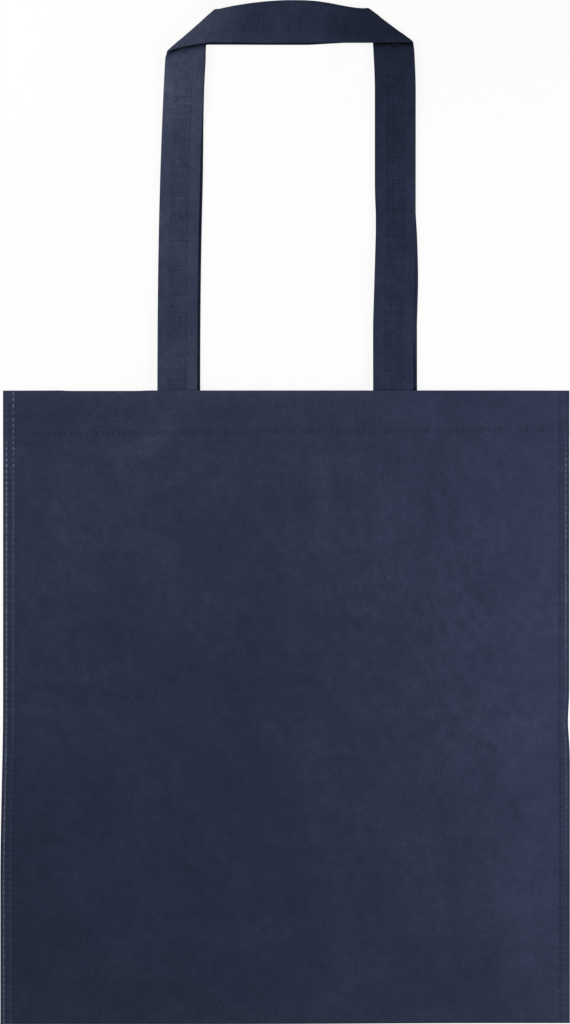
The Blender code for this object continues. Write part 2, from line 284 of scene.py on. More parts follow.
class Graph:
    """Short calls that make and wire the nodes of one material or world."""

    def __init__(self, tree):
        self.tree = tree

    def link(self, source, target):
        self.tree.links.new(source, target)

    def node(self, kind, inputs=None, **settings):
        """A node with its settings made, and each input set to a value or linked to a socket."""
        node = self.tree.nodes.new("ShaderNode" + kind)
        for name, value in settings.items():
            setattr(node, name, value)
        for name, value in (inputs or {}).items():
            if isinstance(value, bpy.types.NodeSocket):
                self.link(value, node.inputs[name])
            else:
                node.inputs[name].default_value = value
        return node

    def math(self, operation, *values):
        return self.node("Math", dict(enumerate(values)), operation=operation).outputs[0]

    def times(self, *values):
        return self.math("MULTIPLY", *values)

    def ramp(self, value, low, high, to_low=0.0, to_high=1.0):
        """A value mapped smoothly from one range to another."""
        inputs = {"Value": value, "From Min": low, "From Max": high, "To Min": to_low, "To Max": to_high}
        return self.node("MapRange", inputs, interpolation_type="SMOOTHSTEP").outputs[0]

    def noise(self, place, scale, detail=3.0, roughness=0.5):
        inputs = {"Vector": place, "Scale": scale, "Detail": detail, "Roughness": roughness}
        return self.node("TexNoise", inputs).outputs[0]

    def attribute(self, name):
        return self.node("Attribute", attribute_name=name).outputs["Fac"]

    def seen(self, otherwise, when_seen):
        """One number where the camera sees it, straight, mirrored or through glass, or else another."""
        path = self.node("LightPath")
        seen = self.math("MAXIMUM", path.outputs["Is Camera Ray"], path.outputs["Is Glossy Ray"])
        seen = self.math("MAXIMUM", seen, path.outputs["Is Transmission Ray"])
        inputs = {"Value": seen, "To Min": otherwise, "To Max": when_seen}
        return self.node("MapRange", inputs).outputs[0]


def new_material(name, settings):
    """A material with some inputs of its surface set, its graph, and that surface."""
    material = bpy.data.materials.new(name)
    material.use_nodes = True
    surface = material.node_tree.nodes["Principled BSDF"]
    for label, value in settings.items():
        surface.inputs[label].default_value = value
    return material, Graph(material.node_tree), surface


def make_floor():
    """A white floor: where the camera sees it, mostly its own white. The rest keeps the bag's shadow."""
    half = FLOOR_SIZE / 2
    data = bpy.data.meshes.new("floor")
    corners = [(-half, -half), (half, -half), (half, half), (-half, half)]
    data.from_pydata([(x, y, -FLOOR_DROP) for x, y in corners], [], [(0, 1, 2, 3)])
    material, graph, surface = new_material("white_floor", {"Roughness": 0.9, "Specular IOR Level": 0.1})
    grain = graph.noise(graph.node("TexCoord").outputs["Object"], FLOOR_GRAIN)
    tone = graph.node("MixRGB", {0: grain, 1: FLOOR_GREYS[0], 2: FLOOR_GREYS[1]})
    graph.link(tone.outputs[0], surface.inputs["Base Color"])
    white = graph.node("Emission", {"Color": FLOOR_WHITE, "Strength": 1.0})
    inputs = {0: graph.seen(0.0, FLOOR_SEEN), 1: surface.outputs[0], 2: white.outputs[0]}
    mixed = graph.node("MixShader", inputs)
    graph.link(mixed.outputs[0], material.node_tree.nodes["Material Output"].inputs["Surface"])
    data.materials.append(material)
    floor = add_object("floor", data)


# Cloth


# A dyed cloth's colour and its gloss. The paler its tone, painted light included, the greyer it is.
DYES = {
    "body": ((0.0180, 0.0247, 0.0508), {"Specular IOR Level": 0.15, "Sheen Weight": 0.08}),
    "strap": ((0.0274, 0.0345, 0.0618), {"Specular IOR Level": 0.04, "Sheen Weight": 0.02}),
}
SHEEN = {"Sheen Roughness": 0.5, "Sheen Tint": (0.55, 0.65, 0.95, 1.0)}
HUE_TONES = (0.4, 1.8)
DARK_TONE_HUE = (0.96, 1.0, 1.13, 1.0)
PALE_TONE_HUE = (1.09, 1.0, 0.89, 1.0)
# The welds' pale colour: partly the fused film's own, partly a painted glint
WELD_PALE_AND_GLINT = (0.162, 0.203, 0.252, 1.0)
WELD_GLOSS = 0.3
SHARP_ANGLE = 38

# Noises: how many to a metre, detail, roughness. In a range, what lies between the first two values
# goes between the last two.
CLOUDS = (24.0, 3.0, 0.55)
CLOUD_TONES = (0.25, 0.75, 0.91, 1.09)
BLOTCHES = (130.0, 3.0, 0.65)
BLOTCH_TONES = (0.25, 0.75, 0.89, 1.11)
FIBRES = (1150.0, 4.0, 0.8)
FIBRE_STRETCH = (1.0, 0.4, 1.0)
FIBRE_TONES = (0.3, 0.7, 0.74, 1.26)
FIBRE_ROUGHNESS = (0.2, 0.8, 0.80, 0.97)
FIBRE_RELIEF = 0.03 * MM

# Bond dots, and the patches where they are worn faint
BOND_PITCH = 1.9 * MM
BOND_OUTLINE = (0.2, 0.8)
BOND_PATCHES = (55.0, 2.0)
BOND_WEAR = (0.35, 0.65, 0.25, 1.0)
BOND_TONES = (0.0, 1.0, 1.06, 0.66)
BOND_GLOSS = 0.15
BOND_RELIEF = 0.05 * MM

# The web of fine creases: its bent cells, a crease's width in cells, and where along the bag it fades
CRACKLE_CELL = 17 * MM
CRACKLE_BEND = 70.0
CRACKLE_WARP = (9 * MM,) * 3
CRACKLE_WIDTH = 0.13
CRACKLE_CLOUDS = (0.4, 0.62)
CRACKLE_FADE = (Y_MOUTH - 340 * MM, Y_MOUTH - 190 * MM, 0.4, 1.0)
CRACKLE_TONES = (0.0, 1.0, 0.99, 1.07)
CRACKLE_RELIEF = 0.13 * MM


def bond_dots(graph, place):
    """The staggered lattice of small fused dots that holds spun-bond fibres together: 1 in a dot."""
    turn = 2 * math.pi / BOND_PITCH
    axes = graph.node("SeparateXYZ", {0: place})
    waves = [graph.math("SINE", graph.times(axes.outputs[k], turn)) for k in (0, 1)]
    return graph.ramp(graph.times(*waves), *BOND_OUTLINE)


def crackle(graph, place):
    """The web of fine creases that handling leaves in such cloth: 1 on a crease."""
    inputs = {"Vector": place, "Scale": CRACKLE_BEND, "Detail": 2.0}
    bend = graph.node("TexNoise", inputs).outputs["Color"]
    bent = graph.node("VectorMath", {0: bend, 1: CRACKLE_WARP, 2: place}, operation="MULTIPLY_ADD")
    inputs = {"Vector": bent.outputs[0], "Scale": 1 / CRACKLE_CELL}
    cells = graph.node("TexVoronoi", inputs, feature="DISTANCE_TO_EDGE")
    return graph.ramp(cells.outputs["Distance"], 0.0, CRACKLE_WIDTH, 1.0, 0.0)


def cloth_material(name, colour, gloss):
    """Spun-bond nonwoven: matt, finely dotted and fibrous, mottled, glassy and pale where welded (the pale
    partly a painted glint), and with the painted light and shade that its tone carries.
    """
    material, graph, surface = new_material(name, gloss | SHEEN)
    place = graph.node("TexCoord").outputs["Object"]
    stretched = graph.node("Mapping", {"Vector": place, "Scale": FIBRE_STRETCH}).outputs[0]
    fibres = graph.noise(stretched, *FIBRES)
    clouds = graph.noise(place, *CLOUDS)
    blotches = graph.noise(place, *BLOTCHES)
    patches = graph.ramp(graph.noise(place, *BOND_PATCHES), *BOND_WEAR)
    dots = graph.times(bond_dots(graph, place), patches)
    creases = graph.times(crackle(graph, place), graph.ramp(clouds, *CRACKLE_CLOUDS))
    along = graph.node("SeparateXYZ", {0: place}).outputs[1]
    creases = graph.times(creases, graph.ramp(along, *CRACKLE_FADE))

    # The tone attribute holds painted light and shade as well as the cloth's own tone
    tone = graph.attribute("tone")
    values = (clouds, blotches, fibres, creases, dots)
    for value, tones in zip(values, (CLOUD_TONES, BLOTCH_TONES, FIBRE_TONES, CRACKLE_TONES, BOND_TONES)):
        tone = graph.times(tone, graph.ramp(value, *tones))
    # A paler tone, painted light included, is greyer
    hue = graph.node("MixRGB", {0: graph.ramp(tone, *HUE_TONES), 1: DARK_TONE_HUE, 2: PALE_TONE_HUE}).outputs[0]
    hue = graph.node("VectorMath", {0: hue, 1: colour}, operation="MULTIPLY").outputs[0]
    dyed = graph.node("VectorMath", {0: hue, "Scale": tone}, operation="SCALE").outputs[0]
    # Welds turn pale: partly the fused film, partly a painted glint
    weld = graph.attribute("weld")
    welded = graph.node("MixRGB", {0: weld, 1: dyed, 2: WELD_PALE_AND_GLINT}, use_clamp=True)
    graph.link(welded.outputs[0], surface.inputs["Base Color"])

    rough = graph.ramp(fibres, *FIBRE_ROUGHNESS)
    rough = graph.math("SUBTRACT", rough, graph.times(dots, BOND_GLOSS))
    rough = graph.math("SUBTRACT", rough, graph.times(weld, WELD_GLOSS))
    graph.link(rough, surface.inputs["Roughness"])

    height = graph.times(fibres, FIBRE_RELIEF)
    height = graph.math("SUBTRACT", height, graph.times(dots, BOND_RELIEF))
    height = graph.math("ADD", height, graph.times(creases, CRACKLE_RELIEF))
    bump = graph.node("Bump", {"Height": height, "Distance": 1.0, "Strength": 1.0})
    graph.link(bump.outputs[0], surface.inputs["Normal"])
    return material


def finish_piece(name, points, faces, attributes, material):
    """A mesh object made from plain lists, with its faces turned out, smooth but for its real edges."""
    data = bpy.data.meshes.new(name)
    data.from_pydata(points, [], faces)
    for label, values in attributes.items():
        layer = data.attributes.new(label, "FLOAT", "POINT")
        layer.data.foreach_set("value", np.asarray(values, dtype=np.float32))
    mesh = bmesh.new()
    mesh.from_mesh(data)
    bmesh.ops.recalc_face_normals(mesh, faces=mesh.faces[:])
    mesh.to_mesh(data)
    mesh.free()
    data.shade_smooth()
    data.set_sharp_from_angle(angle=math.radians(SHARP_ANGLE))
    data.materials.append(material)
    piece = add_object(name, data)
    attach(piece, "root")
    return piece


# Shape of the bag's panels


def half_width(side, y):
    """How far out a side edge is: a little further below the packing crease, which can pinch it."""
    edge = EDGES[side]
    distance = Y_MOUTH - y
    out = between(edge.at_mouth, edge.at_bottom, blend((distance - edge.middle) / edge.reach + 0.5))
    return out - edge.pinch * np.exp(-(((distance - PACK_CREASE) / PINCH_REACH) ** 2))


def hem_skew(x):
    """How much deeper the hem is at a place across: it runs down to the left."""
    return -HEM_SKEW * x / WALL_X


# A line along the bag. A fused one lies inset from the cut edge. On an open one, where the panels lie
# apart, x is fixed and inset counts from the wall. dash, tick: how strongly such a weld presses it in.
Column = namedtuple("Column", "side inset x dash tick is_open")

# A line across the cloth: which panel it is on, how far down, how deep in the cloth, and the welds
# that press it. parts names the stretches of the lattice that use it.
Row = namedtuple("Row", "face distance depth dash tick parts")

# Lines to each weld, as shares of its pitch, with 1 where the weld presses the line in
LINES = 4
DASH_LINES = ((0.0, 0), (0.08, 1), (0.5, 1), (0.58, 0))
TICK_LINES = ((0.0, 0), (0.14, 1), (0.5, 1), (0.64, 0))
BAR_LINES = ((0.0, 0), (0.16, 1), (0.5, 1), (0.66, 0))

# Ticks: how strongly they are pressed, and where they start across
TICK_SEED = 5
TICK_UNEVEN = (0.15, 1.35)
TICK_START = -169 * MM

# Rows of a panel: the first and last one at the ticks, with one more between, and the last fine one
FIRST_TICK = 6 * LINES + 2
LAST_TICK = FIRST_TICK + LINES
TICK_END = 29.0 * MM
FINE_END = 42 * LINES
LAST_ROW = LINES * DASHES

# Rows of the inside: one to so many of a panel, and on the flap as shares of the hem's depth
LINING_STEP = 8
FLAP_SHARES = (0.14, 0.28, 0.42, 0.56, 0.70, 0.84, 1.0)


def every(step, first, last):
    """Every so many rows between two, and these two."""
    return {first, *(number for number in range(first, last) if number % step == 0), last}


# Stretches of the lattice between the walls: face (0 for both), rows of its panel, step of columns
TICK_ROWS = {FIRST_TICK, FIRST_TICK + 1, LAST_TICK - 1, LAST_TICK}
STRETCHES = {
    "front_top": (1, every(2, 0, FIRST_TICK), 4),
    "front_ticks": (1, TICK_ROWS, 1),
    "front_fine": (1, every(2, LAST_TICK, FINE_END), 2),
    "front": (1, every(2, FINE_END, LAST_ROW), 4),
    "bottom": (0, {LAST_ROW}, 4),
    "rear": (-1, every(4, LAST_TICK, LAST_ROW), 8),
    "rear_ticks": (-1, TICK_ROWS, 1),
    "rear_top": (-1, every(4, 0, FIRST_TICK), 8),
    "inside": (0, (), 16),
}


def margin_columns(side):
    """From the cut edge to the last line before the panels part."""
    columns = [Column(side, 0.0, 0.0, 0, 0, False)]
    half = WELD_WIDTH / 2
    for row in WELD_ROWS:
        for offset, dash in ((-half - WELD_RAMP, 0), (-half, 1), (half, 1), (half + WELD_RAMP, 0)):
            columns.append(Column(side, row + offset, 0.0, dash, 0, False))
    return columns


def open_columns():
    """The lines of the hem's uneven ticks, from wall to wall."""
    rng = np.random.default_rng(TICK_SEED)
    pitch = 2 * WALL_X / TICKS
    columns = []
    for number in range(TICKS):
        strength = rng.uniform(*TICK_UNEVEN)
        for phase, tick in TICK_LINES:
            x = -WALL_X + (number + phase) * pitch
            press = tick * strength if x > TICK_START else 0.0
            columns.append(Column(0, WALL_X - abs(x), x, 0, press, True))
    columns.append(Column(0, 0.0, WALL_X, 0, 0, True))
    return columns


def fold_rows(face, centre, turns, radius, parts):
    """Rows round the mouth's fold or the bottom's. 0 degrees is the panel's outside, 90 the fold's end."""
    rows = []
    for degrees in turns:
        turn = math.radians(degrees)
        out = radius * math.sin(turn)
        distance = centre - out if centre < BAG_HEIGHT / 2 else centre + out
        rows.append(Row(face, distance, FOLD - radius * math.cos(turn), 0, 0, parts))
    return rows


def panel_parts(number, face):
    """The stretches of the lattice that use a panel's row of that number."""
    names = [name for name, (side, rows, _) in STRETCHES.items() if side != -face and number in rows]
    return ("seam", *names)


def panel_rows(face):
    """The lines of the side seams' dashes, from the mouth's fold to the bottom's."""
    rows = []
    for number in range(LAST_ROW + 1):
        phase, dash = DASH_LINES[number % LINES]
        distance = FOLD + (number // LINES + phase) * DASH_PITCH
        parts = panel_parts(number, face)
        rows.append(Row(face, distance, 0.0, dash, int(FIRST_TICK < number < LAST_TICK), parts))
        if number == LAST_TICK - 1:
            rows.append(Row(face, TICK_END, 0.0, 1, 1, (parts[-1],)))
    return rows


def lining_rows(face):
    """From the mouth's fold round the hem's flap and down the inside of the panel to the bottom."""
    flap = [between(FOLD, HEM_DEPTH, share) for share in FLAP_SHARES]
    hidden = FOLDED - CLOTH
    rows = fold_rows(face, FOLD, (120, 150, 180), FOLD, ("inside",))
    rows += [Row(face, distance, FOLDED, 0, 0, ("inside",)) for distance in flap]
    rows += [Row(face, distance, hidden, 0, 0, ("inside",)) for distance in flap[::-1]]
    rows += fold_rows(face, FOLD, (180, 90, 0), AIR / 2, ("inside",))
    for number in range(LINING_STEP, LAST_ROW + 1, LINING_STEP):
        distance = FOLD + number / LINES * DASH_PITCH
        rows.append(Row(face, distance, CLOTH, 0, 0, ("inside",)))
    return rows


def sheet_rows():
    """All lines across the cloth in a ring: front panel, bottom, rear panel, and back over the inside."""
    bottom = BAG_HEIGHT - FOLD
    rows = fold_rows(1, FOLD, (90, 60, 30), FOLD, ("seam", "front_top"))
    rows += panel_rows(1)
    rows += fold_rows(1, bottom, (30, 60, 90), FOLD, ("seam", "bottom"))
    rows += fold_rows(-1, bottom, (60, 30), FOLD, ("seam", "bottom"))
    rows += panel_rows(-1)[::-1]
    rows += fold_rows(-1, FOLD, (30, 60, 90), FOLD, ("seam", "rear_top"))
    rows += lining_rows(-1)
    rows += fold_rows(-1, bottom, (45, 90), FOLD - CLOTH, ("inside",))
    rows += fold_rows(1, bottom, (45,), FOLD - CLOTH, ("inside",))
    rows += lining_rows(1)[::-1]
    return rows


# Relief of the front panel


# Soft ridges and, with a negative height, valleys: path as (x, distance), width and height, in
# millimetres. So many widths away, nothing is left of one.
CREASE_REACH = 3
CREASES = (
    (((-79, 25), (-93, 34), (-108, 47)), 8, 1.3),
    (((-110, 48), (-141, 67), (-157, 86)), 13, 0.45),
    (((-77, 108), (-76, 130), (-79, 155)), 6, 0.6),
    (((22, 48), (25, 75), (24, 102)), 7, 0.6),
    (((46, 150), (52, 144), (58, 150)), 3, 0.4),
    (((-176, 214), (-162, 216), (-150, 219)), 6, 0.9),
    (((80, 223), (105, 215), (134, 207)), 4, 0.5),
    (((125, 224), (142, 236), (150, 262)), 7, 0.7),
    (((-140, 250), (-128, 275), (-131, 300)), 15, -0.35),
    (((-60, 250), (-57, 300), (-62, 350)), 17, -0.25),
    (((20, 215), (14, 262), (22, 300)), 8, 0.5),
)

# Small creases left to chance, in millimetres. Higher up there are more of them.
CHANCE_SEED = 21
CHANCE_CREASES = 130
CHANCE_ACROSS = (-168, 150)
CHANCE_DOWN = (36, 330)
CHANCE_CROWDING = 1.5
CHANCE_LENGTH = (10, 46)
CHANCE_WIDTH = (1.7, 3.4)
CHANCE_HEIGHT = (0.06, 0.24)
CHANCE_BEND = 0.5
CHANCE_RIDGES = 0.7

# The crease that packing left. It waves, and in the middle of the bag it is shallower.
PACK_DEPTH = 0.45 * MM
PACK_REACH = 7 * MM
PACK_FLANK = 1.5
PACK_WAVE = (2.5 * MM, 38 * MM)
PACK_MIDDLE = (0.4, 150 * MM)

# The crumple: how narrow its crests are, how its finer waves fade downward (to what share, from where,
# over what length), and how it calms down towards the seams and in the hem
CREST_POWER = 0.7
CRUMPLE_FADE = (0.45, 170 * MM, 120 * MM)
SEAM_CALM = 16 * MM
HEM_CALM = 0.3

# How far the tucked strap ends lift the hem
STRAP_ROOTS = ((-85.5 * MM, -57.5 * MM), (58.5 * MM, 87.0 * MM))
STRAP_GHOST = 0.35 * MM
GHOST_SIDE = 2 * MM
GHOST_END = 3 * MM

# The hem's upper edge rolls down: how far, over what length, how much of it where, and beside a strap
ROLL = (0.9 * MM, 11 * MM)
ROLL_SHARES = ((-170, -100, -20, 20, 90, 170), (0.7, 0.7, 1.0, 1.0, 0.15, 0.1))
ROLL_START = (0.3, 9 * MM)


def wave_set(seed, count, shortest, longest, height):
    """Waves in all directions, the longer the higher, that together reach the height."""
    rng = np.random.default_rng(seed)
    length = np.exp(rng.uniform(math.log(shortest), math.log(longest), count))
    turn = rng.uniform(0, math.pi, count)
    phase = rng.uniform(0, 2 * math.pi, count)
    number = 2 * math.pi / length
    return number * np.cos(turn), number * np.sin(turn), phase, height * length / np.linalg.norm(length)


SOFT_WAVES = wave_set(11, 26, 26 * MM, 75 * MM, 0.42 * MM)
FINE_WAVES = wave_set(12, 34, 8 * MM, 19 * MM, 0.10 * MM)
CREST_WAVES = wave_set(13, 14, 18 * MM, 46 * MM, 0.34 * MM)


def wave_field(waves, x, distance, crested=False):
    """The sum of some waves. Crested ones are folded to narrow crests, as in crumpled cloth."""
    across, down, phase, height = waves
    wave = np.sin(np.outer(x, across) + np.outer(distance, down) + phase)
    if crested:
        wave = 1 - 2 * np.abs(wave) ** CREST_POWER
    return wave @ height


def crease_height(path, width, height, x, distance):
    """Height of one crease at some places, fading away at both of its ends."""
    path = np.array(path) * MM
    width = width * MM
    reach = CREASE_REACH * width
    if distance.max() < path[:, 1].min() - reach or distance.min() > path[:, 1].max() + reach:
        return np.zeros_like(x)
    nearest = np.full_like(x, 1.0)
    for start, end in zip(path, path[1:]):
        run = end - start
        share = clip(((x - start[0]) * run[0] + (distance - start[1]) * run[1]) / (run @ run))
        off = np.hypot(x - start[0] - share * run[0], distance - start[1] - share * run[1])
        nearest = np.minimum(nearest, off)
    return height * MM * np.exp(-((nearest / width) ** 2))


def chance_creases():
    """Short bent creases, mostly in the upper half, where the bag is handled."""
    rng = np.random.default_rng(CHANCE_SEED)
    creases = []
    for _ in range(CHANCE_CREASES):
        x = rng.uniform(*CHANCE_ACROSS)
        place = np.array([x, between(*CHANCE_DOWN, rng.uniform() ** CHANCE_CROWDING)])
        turn = rng.uniform(0, math.pi)
        reach = rng.uniform(*CHANCE_LENGTH) / 2
        bend = rng.uniform(-CHANCE_BEND, CHANCE_BEND)
        run = np.array([math.cos(turn), math.sin(turn)]) * reach
        middle = place + bend * reach * np.array([-math.sin(turn), math.cos(turn)])
        height = rng.uniform(*CHANCE_HEIGHT) * (1 if rng.uniform() < CHANCE_RIDGES else -1)
        creases.append(((place - run, middle, place + run), rng.uniform(*CHANCE_WIDTH), height))
    return tuple(creases)


ALL_CREASES = CREASES + chance_creases()


def strap_ghost(x, distance):
    """The tucked strap ends lift the hem a little."""
    lift = np.zeros_like(x)
    for low, high in STRAP_ROOTS:
        inside = np.minimum(x - low, high - x)
        lift += blend(inside / GHOST_SIDE + 0.5)
    return STRAP_GHOST * lift * (1 - blend((distance - TUCK) / GHOST_END + 0.5))


def mouth_roll(x, distance):
    """How far the hem rolls down towards its edge. It stays up where a strap lies under it."""
    amount, reach = ROLL
    start, length = ROLL_START
    share = np.interp(x / MM, *ROLL_SHARES)
    for low, high in STRAP_ROOTS:
        share = share * blend(np.maximum(low - x, x - high) / length - start)
    return amount * share * np.exp(-distance / reach)


def crease_sum(x, distance):
    """All creases together, named and left to chance."""
    total = np.zeros_like(x)
    for crease in ALL_CREASES:
        total += crease_height(*crease, x, distance)
    return total


def relief(x, distance, inset):
    """All that lifts or lowers the front panel where it is open."""
    low, start, reach = CRUMPLE_FADE
    upper = between(1.0, low, blend((distance - start) / reach))
    crumple = wave_field(SOFT_WAVES, x, distance) + wave_field(FINE_WAVES, x, distance) * upper
    crumple += wave_field(CREST_WAVES, x, distance, crested=True) * upper
    crumple += crease_sum(x, distance)
    height, length = PACK_WAVE
    off = np.abs(distance - (PACK_CREASE + height * np.sin(x / length))) / PACK_REACH
    least, far = PACK_MIDDLE
    depth = PACK_DEPTH * between(least, 1.0, clip(np.abs(x) / far))
    crumple -= depth * np.exp(-(off**PACK_FLANK))
    calm = blend(inset / SEAM_CALM) * between(1.0, HEM_CALM, hem_share(x, distance))
    return crumple * calm + strap_ghost(x, distance) - mouth_roll(x, distance)


def hem_share(x, distance):
    """1 in the hem, 0 below it."""
    return 1 - blend((distance - HEM_DEPTH - hem_skew(x)) / HEM_STEP)


def front_top(x, distance, inset, is_open):
    """Height of the front panel's outside before any weld is pressed into it."""
    in_hem = hem_share(x, distance)
    fused = between(2, 4, in_hem) * CLOTH
    flat = between(FOLDED, 2 * FOLDED + AIR, in_hem)
    foot = ease((BAG_HEIGHT - FOLD - distance) / FOOT)
    lofted = between(flat, LOFT, ease(inset / FLANK) * foot) + relief(x, distance, inset) * foot
    return np.where(is_open, lofted, fused)


# Mesh of the body


# The outline's small irregularities: the mouth's edge rises and dips, and the bottom is lower at the left
MOUTH_RISE = 0.32 * MM
MOUTH_REACH = 25 * MM
MOUTH_DIP = 0.3 * MM
DIP_STRETCH = (-150 * MM, -90 * MM)
DIP_END = 8 * MM
BOTTOM_LIFT = (-0.9 * MM, -0.1 * MM)
BOTTOM_START = -60 * MM
BOTTOM_STRETCH = 200 * MM


def row_places(row, col):
    """Where one row of the lattice lies, at all its columns: arrays of x, y and z."""
    is_open = col["is_open"]
    squeeze = np.where(is_open, 1.0, 2 * CLOTH / FOLDED)
    distance = np.full(len(is_open), row.distance)
    if row.distance <= FOLD + AIR:
        distance = distance * squeeze
    elif BAG_HEIGHT - row.distance <= FOLD + AIR:
        distance = BAG_HEIGHT - (BAG_HEIGHT - distance) * squeeze
    depth = row.depth * squeeze
    y = Y_MOUTH - distance
    edge = np.where(col["side"] < 0, half_width(-1, y), half_width(1, y))
    x = np.where(is_open, col["x"], col["side"] * (edge - col["inset"]))
    start, end = HEM_EASE_OUT
    warp = blend((distance - FOLD) / HEM_EASE_IN) * (1 - blend((distance - start) / (end - start)))
    distance = distance + hem_skew(x) * warp
    y = Y_MOUTH - distance
    press = col["dash"] * row.dash * DASH_PRESS + col["tick"] * row.tick * TICK_PRESS
    if row.face > 0:
        z = front_top(x, distance, col["inset"], is_open) - depth - press
    else:
        z = depth + press
    start, end = DIP_STRETCH
    dip = MOUTH_DIP * blend((x - start) / DIP_END) * blend((end - x) / DIP_END)
    y = y + (MOUTH_RISE - dip) * (1 - blend(distance / MOUTH_REACH))
    lift = between(*BOTTOM_LIFT, blend((x - BOTTOM_START) / BOTTOM_STRETCH))
    y = y + lift * blend((distance - (BAG_HEIGHT - FOOT)) / FOOT)
    return x, y, z


def lattice_regions(rows, columns):
    """The stretches of the lattice, each as the rows and the columns that it uses."""
    margin = sum(1 for c in columns if c.side < 0)
    fine = list(range(margin, len(columns) - margin))
    left = list(range(margin + 1))
    right = list(range(len(columns) - margin - 1, len(columns)))

    def part(name):
        return [k for k, row in enumerate(rows) if name in row.parts]

    regions = {"left_seam": (part("seam"), left), "right_seam": (part("seam"), right)}
    for name, (_, _, step) in STRETCHES.items():
        regions[name] = (part(name), fine[::step])
    inside, places = regions["inside"]
    regions["inside"] = ([inside[0] - 1] + inside + [len(rows)], places)
    return regions


def cell_ring(keys, total, top, bottom, left, right):
    """The lattice points round a cell, with any that a finer neighbour has put on its sides."""
    ring = [(top, j) for j in range(left, right)]
    ring += [(i, right) for i in range(top, bottom)]
    ring += [(bottom % total, j) for j in range(right, left, -1)]
    ring += [(i % total, left) for i in range(bottom, top, -1)]
    return [key for key in ring if key in keys]


def lattice_faces(regions, total):
    """The lattice's points and its faces, each face as a ring of points."""
    keys = set()
    for rows, columns in regions.values():
        keys.update((i % total, j) for i in rows for j in columns)
    faces = []
    for rows, columns in regions.values():
        for top, bottom in zip(rows, rows[1:]):
            for left, right in zip(columns, columns[1:]):
                faces.append(cell_ring(keys, total, top, bottom, left, right))
    inside = regions["inside"][0]
    mouth = inside[0]
    for name, cut, wall in (("left_seam", 0, -1), ("right_seam", -1, 0)):
        seam, columns = regions[name]
        for left, right in zip(columns, columns[1:]):
            faces.append([(mouth, left), (mouth, right), (0, right), (0, left)])
        faces.append([(i % total, columns[wall]) for i in inside])
        middle = len(seam) // 2
        rings = [(k, k + 1, -k - 2, -k - 1) for k in range(middle - 1)]
        for ring in rings + [(middle - 1, middle, middle + 1)]:
            faces.append([(seam[k], columns[cut]) for k in ring])
    return keys, faces


# How pale each weld row of the side seams is, partly the fused film and partly a painted glint, by
# millimetres down from the mouth: outer, then inner
WELD_GLINT_TONES = {
    -1: (
        ((0, 30, 33, 60, 150, 421), (0.05, 0.08, 0.46, 0.44, 0.36, 0.36)),
        ((0, 33, 60, 115, 190, 235, 250, 330, 421), (0.28, 0.33, 0.24, 0.16, 0.14, 0.08, 0.03, 0.07, 0.12)),
    ),
    1: (
        ((0, 30, 50, 140, 210, 235, 280, 320, 421), (0.0, 0.04, 0.26, 0.22, 0.06, 0.14, 0.12, 0.04, 0.02)),
        ((0, 421), (0.0, 0.0)),
    ),
}

# The inner row at the right is dark instead, and has only this share of it between its dashes
DARK_ROW = 0.18
DARK_BETWEEN = 0.6

# Between two dashes the row is as pale as this share of them: low in the hem, higher further down
BETWEEN_DASHES = ((40, 110), (0.15, 0.6))
DASH_SEEDS = (31, 41)
DASH_UNEVEN = 0.35
TICK_DARK = 0.30

# How much paler a ridge is, and darker a valley, for each millimetre of height, and the range of heights
# that counts: partly the whitening of creased cloth, partly painted light and shade
RIDGE_PALE_AND_PAINTED_LIGHT = 0.22
RIDGE_RANGE = (-0.6, 1.2)

# Wide patches of painted light and shade on the front panel: the middle (x, distance) and half size of
# each, in millimetres, and how much paler or darker it is
PAINTED_SHADE_PATCHES = (
    (-90, 300, 75, 75, -0.07),
    (-155, 120, 50, 50, 0.10),
    (-75, 215, 45, 45, -0.05),
    (-107, 172, 24, 44, -0.13),
    (-68, 190, 22, 25, -0.06),
    (-13, 242, 38, 125, -0.16),
    (34, 190, 26, 45, -0.08),
    (80, 182, 24, 25, -0.10),
    (165, 190, 60, 60, 0.07),
    (-155, 225, 24, 20, 0.22),
    (166, 355, 25, 22, 0.10),
    (-130, 16, 45, 9, -0.14),
    (-70, 6, 15, 8, 0.18),
    (-95, 36, 16, 10, 0.07),
    (-50, 97, 17, 16, -0.06),
)

# Painted light along the edges: how pale the mouth's is at places across, and the bottom's, and how far
# that reaches
MOUTH_PAINTED_LIGHT = ((-60, -30, 50, 70), (0.12, 0.32, 0.32, 0.0))
MOUTH_PAINTED_LIGHT_REACH = 4.4 * MM
BOTTOM_PAINTED_LIGHT = 0.2
BOTTOM_PAINTED_LIGHT_REACH = 50 * MM


def dash_strengths(seed):
    """How well each dash of a weld row has fused: even, but for small chance differences."""
    rng = np.random.default_rng(seed)
    return 1 + DASH_UNEVEN * rng.uniform(-1, 1, DASHES + 1)


def weld_glint_values(row, col, strengths):
    """How pale the welds are along one row of the lattice: partly the fused film, partly a painted glint.
    """
    values = np.zeros(len(col["dash"]))
    if row.depth:
        return values
    share = 1.0 if row.dash else np.interp(row.distance / MM, *BETWEEN_DASHES)
    number = int((row.distance - FOLD) / DASH_PITCH)
    for side, tones in WELD_GLINT_TONES.items():
        for inner, (places, amounts) in enumerate(tones):
            amount = share * np.interp(row.distance / MM, places, amounts) * strengths[side][inner][number]
            here = (col["side"] == side) & (col["dash"] > 0) & ((col["inset"] > WELD_MIDDLE) == bool(inner))
            values = np.where(here, amount, values)
    return values


